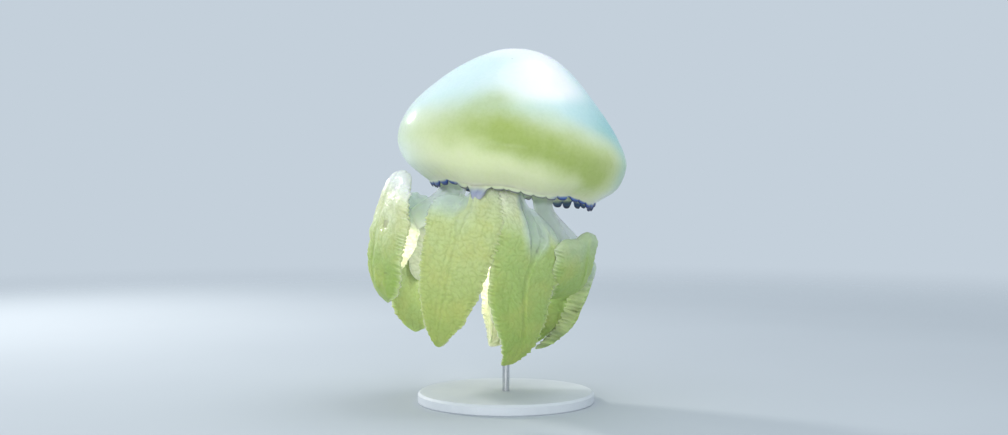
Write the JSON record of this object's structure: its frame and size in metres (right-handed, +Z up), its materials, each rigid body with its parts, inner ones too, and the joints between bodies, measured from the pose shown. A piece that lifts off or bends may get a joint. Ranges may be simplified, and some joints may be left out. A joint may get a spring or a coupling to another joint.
{
  "type": "jellyfish",
  "caption": "Still life-size barrel jellyfish: contracted dome bell with scalloped violet margin over a ring of frilled oral arms, banked on a rod and round base.",
  "frame": {"origin": "centre of the display base's underside, on the surface it stands on", "axes": "+Z up along the stand's rod, -Y towards the viewer (the side seen in the reference view), +X to the viewer's right"},
  "size_m": [0.2909, 0.259, 0.3988],
  "materials": {
    "bell_jelly": "wet translucent jelly, white to pale cyan above and pale yellow-green below, with a soft green band",
    "margin_violet": "thin wet lappets, dark violet-blue with paler edges",
    "column_jelly": "clear greenish jelly",
    "arm_jelly": "clear blue-green jelly",
    "arm_frill": "soft yellow-green frills, paler at their edges",
    "stand_lacquer": "satin pale grey lacquer over board",
    "stand_steel": "satin brushed steel"
  },
  "bodies": {
    "root": {"arm_1_shaft": "arm_jelly", "arm_1_wing_left": "arm_frill", "arm_1_wing_right": "arm_frill", "arm_2_shaft": "arm_jelly", "arm_2_wing_left": "arm_frill", "arm_2_wing_right": "arm_frill", "arm_3_shaft": "arm_jelly", "arm_3_wing_left": "arm_frill", "arm_3_wing_right": "arm_frill", "arm_4_shaft": "arm_jelly", "arm_4_wing_left": "arm_frill", "arm_4_wing_right": "arm_frill", "arm_5_shaft": "arm_jelly", "arm_5_wing_left": "arm_frill", "arm_5_wing_right": "arm_frill", "arm_6_shaft": "arm_jelly", "arm_6_wing_left": "arm_frill", "arm_6_wing_right": "arm_frill", "arm_7_shaft": "arm_jelly", "arm_7_wing_left": "arm_frill", "arm_7_wing_right": "arm_frill", "arm_8_shaft": "arm_jelly", "arm_8_wing_left": "arm_frill", "arm_8_wing_right": "arm_frill", "bell_crown": "bell_jelly", "bell_side_1": "bell_jelly", "bell_side_2": "bell_jelly", "bell_side_3": "bell_jelly", "bell_side_4": "bell_jelly", "bell_side_5": "bell_jelly", "bell_side_6": "bell_jelly", "bell_side_7": "bell_jelly", "bell_side_8": "bell_jelly", "margin_1": "margin_violet", "margin_2": "margin_violet", "margin_3": "margin_violet", "margin_4": "margin_violet", "margin_5": "margin_violet", "margin_6": "margin_violet", "margin_7": "margin_violet", "margin_8": "margin_violet", "mouth_column": "column_jelly", "scapulet_1": "arm_frill", "scapulet_10": "arm_frill", "scapulet_11": "arm_frill", "scapulet_12": "arm_frill", "scapulet_13": "arm_frill", "scapulet_14": "arm_frill", "scapulet_15": "arm_frill", "scapulet_16": "arm_frill", "scapulet_2": "arm_frill", "scapulet_3": "arm_frill", "scapulet_4": "arm_frill", "scapulet_5": "arm_frill", "scapulet_6": "arm_frill", "scapulet_7": "arm_frill", "scapulet_8": "arm_frill", "scapulet_9": "arm_frill", "stand_base": "stand_lacquer", "stand_rod": "stand_steel"}
  },
  "joints": []
}
